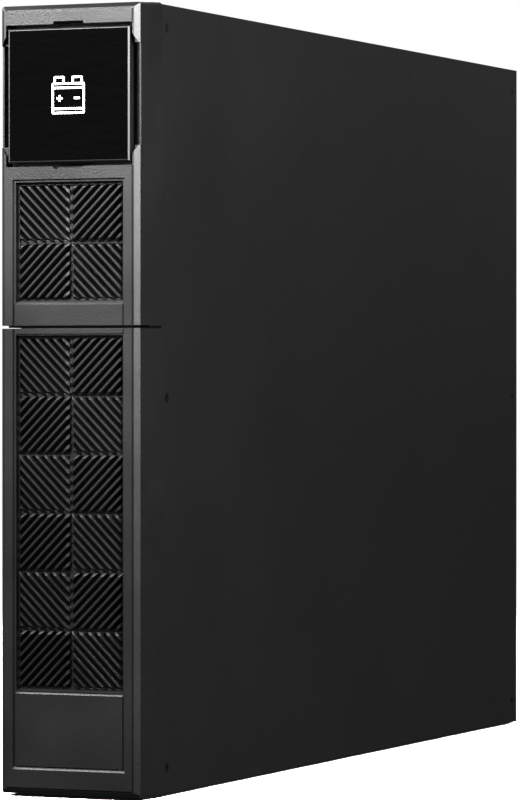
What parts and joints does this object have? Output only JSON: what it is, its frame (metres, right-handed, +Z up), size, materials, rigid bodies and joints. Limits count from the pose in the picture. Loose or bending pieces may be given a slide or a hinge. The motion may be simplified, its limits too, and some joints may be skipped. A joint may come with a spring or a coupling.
{
  "type": "uninterruptible power supply battery cabinet",
  "caption": "Slim black rack or tower battery cabinet for an uninterruptible power supply, with louvred front bezels and a square pull-out plate carrying a battery symbol.",
  "frame": {"origin": "bottom centre of the whole cabinet's box", "axes": "+Z up as it stands, front towards -Y, +X to the right seen from the front"},
  "size_m": [0.088, 0.6156, 0.44],
  "materials": {
    "bezel_plastic": "fine-textured moulded black ABS",
    "grille_plastic": "moulded black ABS, satin",
    "carrier_plastic": "moulded black ABS, satin",
    "gloss_window": "polished black polycarbonate",
    "white_print": "white screen print",
    "inner_plastic": "moulded black plastic",
    "bare_steel": "zinc-plated",
    "nylon": "natural nylon",
    "coated_steel": "black powder coat, fine texture",
    "black_screws": "black zinc",
    "galvanised_steel": "galvanised sheet",
    "battery_plastic": "moulded dark grey ABS",
    "battery_lid_plastic": "moulded grey ABS",
    "tinned_brass": "tinned",
    "red_insulation": "red PVC",
    "black_insulation": "black PVC",
    "foam": "closed-cell foam",
    "webbing": "woven nylon webbing",
    "connector_grey": "grey polycarbonate",
    "circuit_board": "green solder mask",
    "ceramic": "glazed ceramic with end caps",
    "switch_plastic": "light grey thermoset",
    "lever_plastic": "black moulded lever"
  },
  "bodies": {
    "upper_bezel": {"upper_bezel": "bezel_plastic", "upper_grille": "grille_plastic", "plate_housing": "inner_plastic", "upper_bezel_studs": "bare_steel"},
    "lower_bezel": {"lower_bezel": "bezel_plastic", "lower_grille": "grille_plastic", "blank_nameplate": "bezel_plastic", "lower_bezel_studs": "bare_steel"},
    "turning_plate": {"plate_carrier": "carrier_plastic", "plate_window": "gloss_window", "battery_symbol": "white_print", "plate_stem": "carrier_plastic", "stem_collar": "bare_steel"},
    "case": {"bezel_grommets": "nylon", "case_pan": "coated_steel", "case_cover": "coated_steel", "cover_screws": "black_screws", "rack_ear_nuts": "bare_steel", "front_panel": "coated_steel", "battery_doors": "coated_steel", "door_screws": "bare_steel", "middle_divider": "galvanised_steel", "bay_rails": "galvanised_steel", "lower_battery_tray": "galvanised_steel", "upper_battery_tray": "galvanised_steel", "lower_battery_cases": "battery_plastic", "upper_battery_cases": "battery_plastic", "lower_battery_lids": "battery_lid_plastic", "upper_battery_lids": "battery_lid_plastic", "lower_battery_tabs": "tinned_brass", "upper_battery_tabs": "tinned_brass", "lower_battery_links": "red_insulation", "upper_battery_links": "red_insulation", "foam_pads": "foam", "lower_pull_strap": "webbing", "upper_pull_strap": "webbing", "battery_plugs": "connector_grey", "battery_sockets": "connector_grey", "positive_leads": "red_insulation", "negative_leads": "black_insulation", "bus_board": "circuit_board", "board_spacers": "nylon", "board_parts": "inner_plastic", "fuse_clips": "tinned_brass", "string_fuse": "ceramic", "rear_panel": "coated_steel", "port_plate": "coated_steel", "rear_panel_screws": "black_screws", "dc_connector_shells": "connector_grey", "dc_connector_contacts": "tinned_brass", "detection_port": "inner_plastic", "port_contacts": "tinned_brass", "port_board": "circuit_board", "switch_body": "switch_plastic", "switch_frame": "inner_plastic", "earth_stud": "bare_steel", "earth_nut": "bare_steel"},
    "switch_lever": {"switch_lever": "lever_plastic"}
  },
  "joints": [
    {"name": "upper_bezel_pull", "type": "slide", "parent": "case", "child": "upper_bezel", "axis": [0, -1, 0], "range_m": [0, 0.025]},
    {"name": "lower_bezel_pull", "type": "slide", "parent": "case", "child": "lower_bezel", "axis": [0, -1, 0], "range_m": [0, 0.025]},
    {"name": "plate_pull", "type": "slide", "parent": "upper_bezel", "child": "turning_plate", "axis": [0, -1, 0], "range_m": [0, 0.008]},
    {"name": "switch_tilt", "type": "hinge", "parent": "case", "child": "switch_lever", "pos_m": [0, 0.2918, 0.352], "axis": [-1, 0, 0], "range_deg": [0, 80]}
  ]
}
